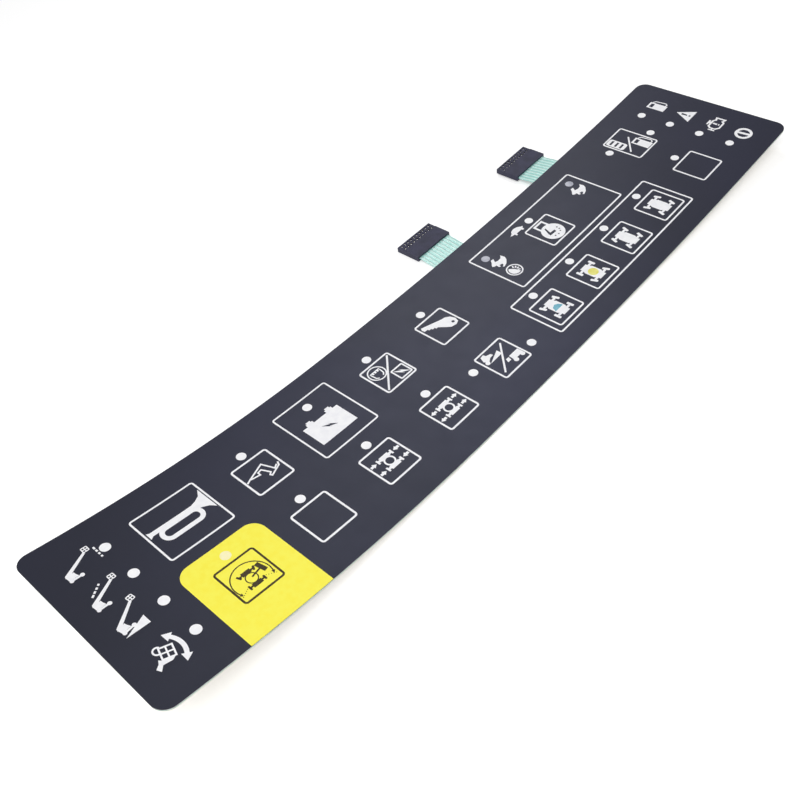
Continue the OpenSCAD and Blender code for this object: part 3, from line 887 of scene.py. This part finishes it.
traceTree = traceNodes()
for name, (along, turns) in tails["places"].items():
    curve = bpy.data.curves.new("tailPath" + name, "CURVE")
    curve.dimensions = "3D"
    path = tailPath(turns)
    spline = curve.splines.new("POLY")
    spline.points.add(len(path) - 1)
    for point, place in zip(spline.points, path):
        point.co = [c * mm for c in place] + [1.0]
    inputs = {
        "Lines": tails["lines"],
        "Pitch": tails["pitch"] * mm,
        "Line width": tails["lineWidth"] * mm,
        "Line thickness": tails["lineThick"] * mm,
        "Ink": finishes["silver"],
    }
    root = Matrix.Translation((0, sheet["width"] / 2 * mm, tails["rootHeight"] * mm))
    seat = bowMatrix(along) @ root
    traces = bakeNodes("tailTraces" + name.upper(), curve, traceTree, inputs, seat)
print("tails traced")


# Finishes of the solids that stay as they are, by name or by its first word

nodeFinish = {
    "dome": "steel",
    "led": "epoxy",
    "dome_spacer": "spacer",
    "circuit_film": "tail",
    "rear_adhesive": "glue",
    "connector_a": "nylon",
    "connector_b": "nylon",
    "contacts_a": "tin",
    "contacts_b": "tin",
}
for name, node in nodes.items():
    choice = nodeFinish.get(name) or nodeFinish.get(name.split("_")[0])
    if choice:
        node.data.materials.clear()
        node.data.materials.append(finishes[choice])
print("solids finished")


# Floor, light and camera, in metres

studio = {"floorReach": 4.0, "floorDrop": 0.0002, "floorLift": 0.34, "worldLight": 0.3}


# pale paper that keeps the shadow and is lifted to white where it is seen
def floorMaterial():
    material = bpy.data.materials.new("paleFloor")
    material.use_nodes = True
    tree = material.node_tree
    tree.nodes.clear()
    paper = addNode(tree, "ShaderNodeBsdfDiffuse", None, {"Color": hexLinear("#f2f2f2")})
    ray = addNode(tree, "ShaderNodeLightPath")
    links = {0: ray.outputs["Is Camera Ray"], 1: ray.outputs["Is Glossy Ray"]}
    mirrored = addNode(tree, "ShaderNodeMath", None, None, links)
    links = {0: mirrored.outputs[0], 1: ray.outputs["Is Transmission Ray"]}
    passed = addNode(tree, "ShaderNodeMath", {"use_clamp": True}, None, links)
    amount, links = {1: studio["floorLift"]}, {0: passed.outputs[0]}
    seen = addNode(tree, "ShaderNodeMath", {"operation": "MULTIPLY"}, amount, links)
    links = {"Strength": seen.outputs[0]}
    lift = addNode(tree, "ShaderNodeEmission", None, {"Color": (1, 1, 1, 1)}, links)
    links = {0: paper.outputs[0], 1: lift.outputs[0]}
    both = addNode(tree, "ShaderNodeAddShader", None, None, links)
    addNode(tree, "ShaderNodeOutputMaterial", None, None, {"Surface": both.outputs[0]})
    return material


floorMesh = bpy.data.meshes.new("floor")
floorSide, floorHeight = studio["floorReach"] * 2, -studio["floorDrop"]
floorCorners = [(x, y, floorHeight) for x, y in boxLoop(0, 0, floorSide, floorSide)]
floorMesh.from_pydata(floorCorners, [], [(0, 1, 2, 3)])
floorMesh.materials.append(floorMaterial())
floor = bpy.data.objects.new("floor", floorMesh)
bpy.context.scene.collection.objects.link(floor)

world = bpy.data.worlds.new("studio")
world.use_nodes = True
backdrop = world.node_tree.nodes["Background"].inputs
backdrop["Color"].default_value = (1, 1, 1, 1)
backdrop["Strength"].default_value = studio["worldLight"]
bpy.context.scene.world = world

# both softboxes face the middle of the part
lamps = {
    "softboxAbove": {"place": (-0.55, -0.35, 1.0), "size": 1.0, "power": 10.5},
    "softboxBehind": {"place": (0.5, 0.46, 0.68), "size": 0.4, "power": 1.7},
}
for name, facts in lamps.items():
    light = bpy.data.lights.new(name, "AREA")
    light.size = facts["size"]
    light.energy = facts["power"]
    lamp = bpy.data.objects.new(name, light)
    lamp.location = facts["place"]
    lamp.rotation_euler = (-Vector(facts["place"])).to_track_quat("-Z", "Y").to_euler()
    bpy.context.scene.collection.objects.link(lamp)

camera = {
    "place": (-0.25758, -0.21906, 0.31736),
    "look": (0.45659, 0.50525, -0.73229),
    "roll": -8.532,
    "lens": 40.1,
    "sensor": 36.0,
    "near": 0.01,
}
lens = bpy.data.cameras.new("camera")
lens.lens = camera["lens"]
lens.sensor_width = camera["sensor"]
lens.clip_start = camera["near"]
eye = bpy.data.objects.new("camera", lens)
eye.location = camera["place"]
aim = Vector(camera["look"]).to_track_quat("-Z", "Y").to_matrix()
turn = aim @ Matrix.Rotation(math.radians(camera["roll"]), 3, "Z")
eye.rotation_euler = turn.to_euler()
bpy.context.scene.collection.objects.link(eye)
bpy.context.scene.camera = eye
bpy.context.scene.view_settings.view_transform = "Standard"
print("floor, light and camera set")
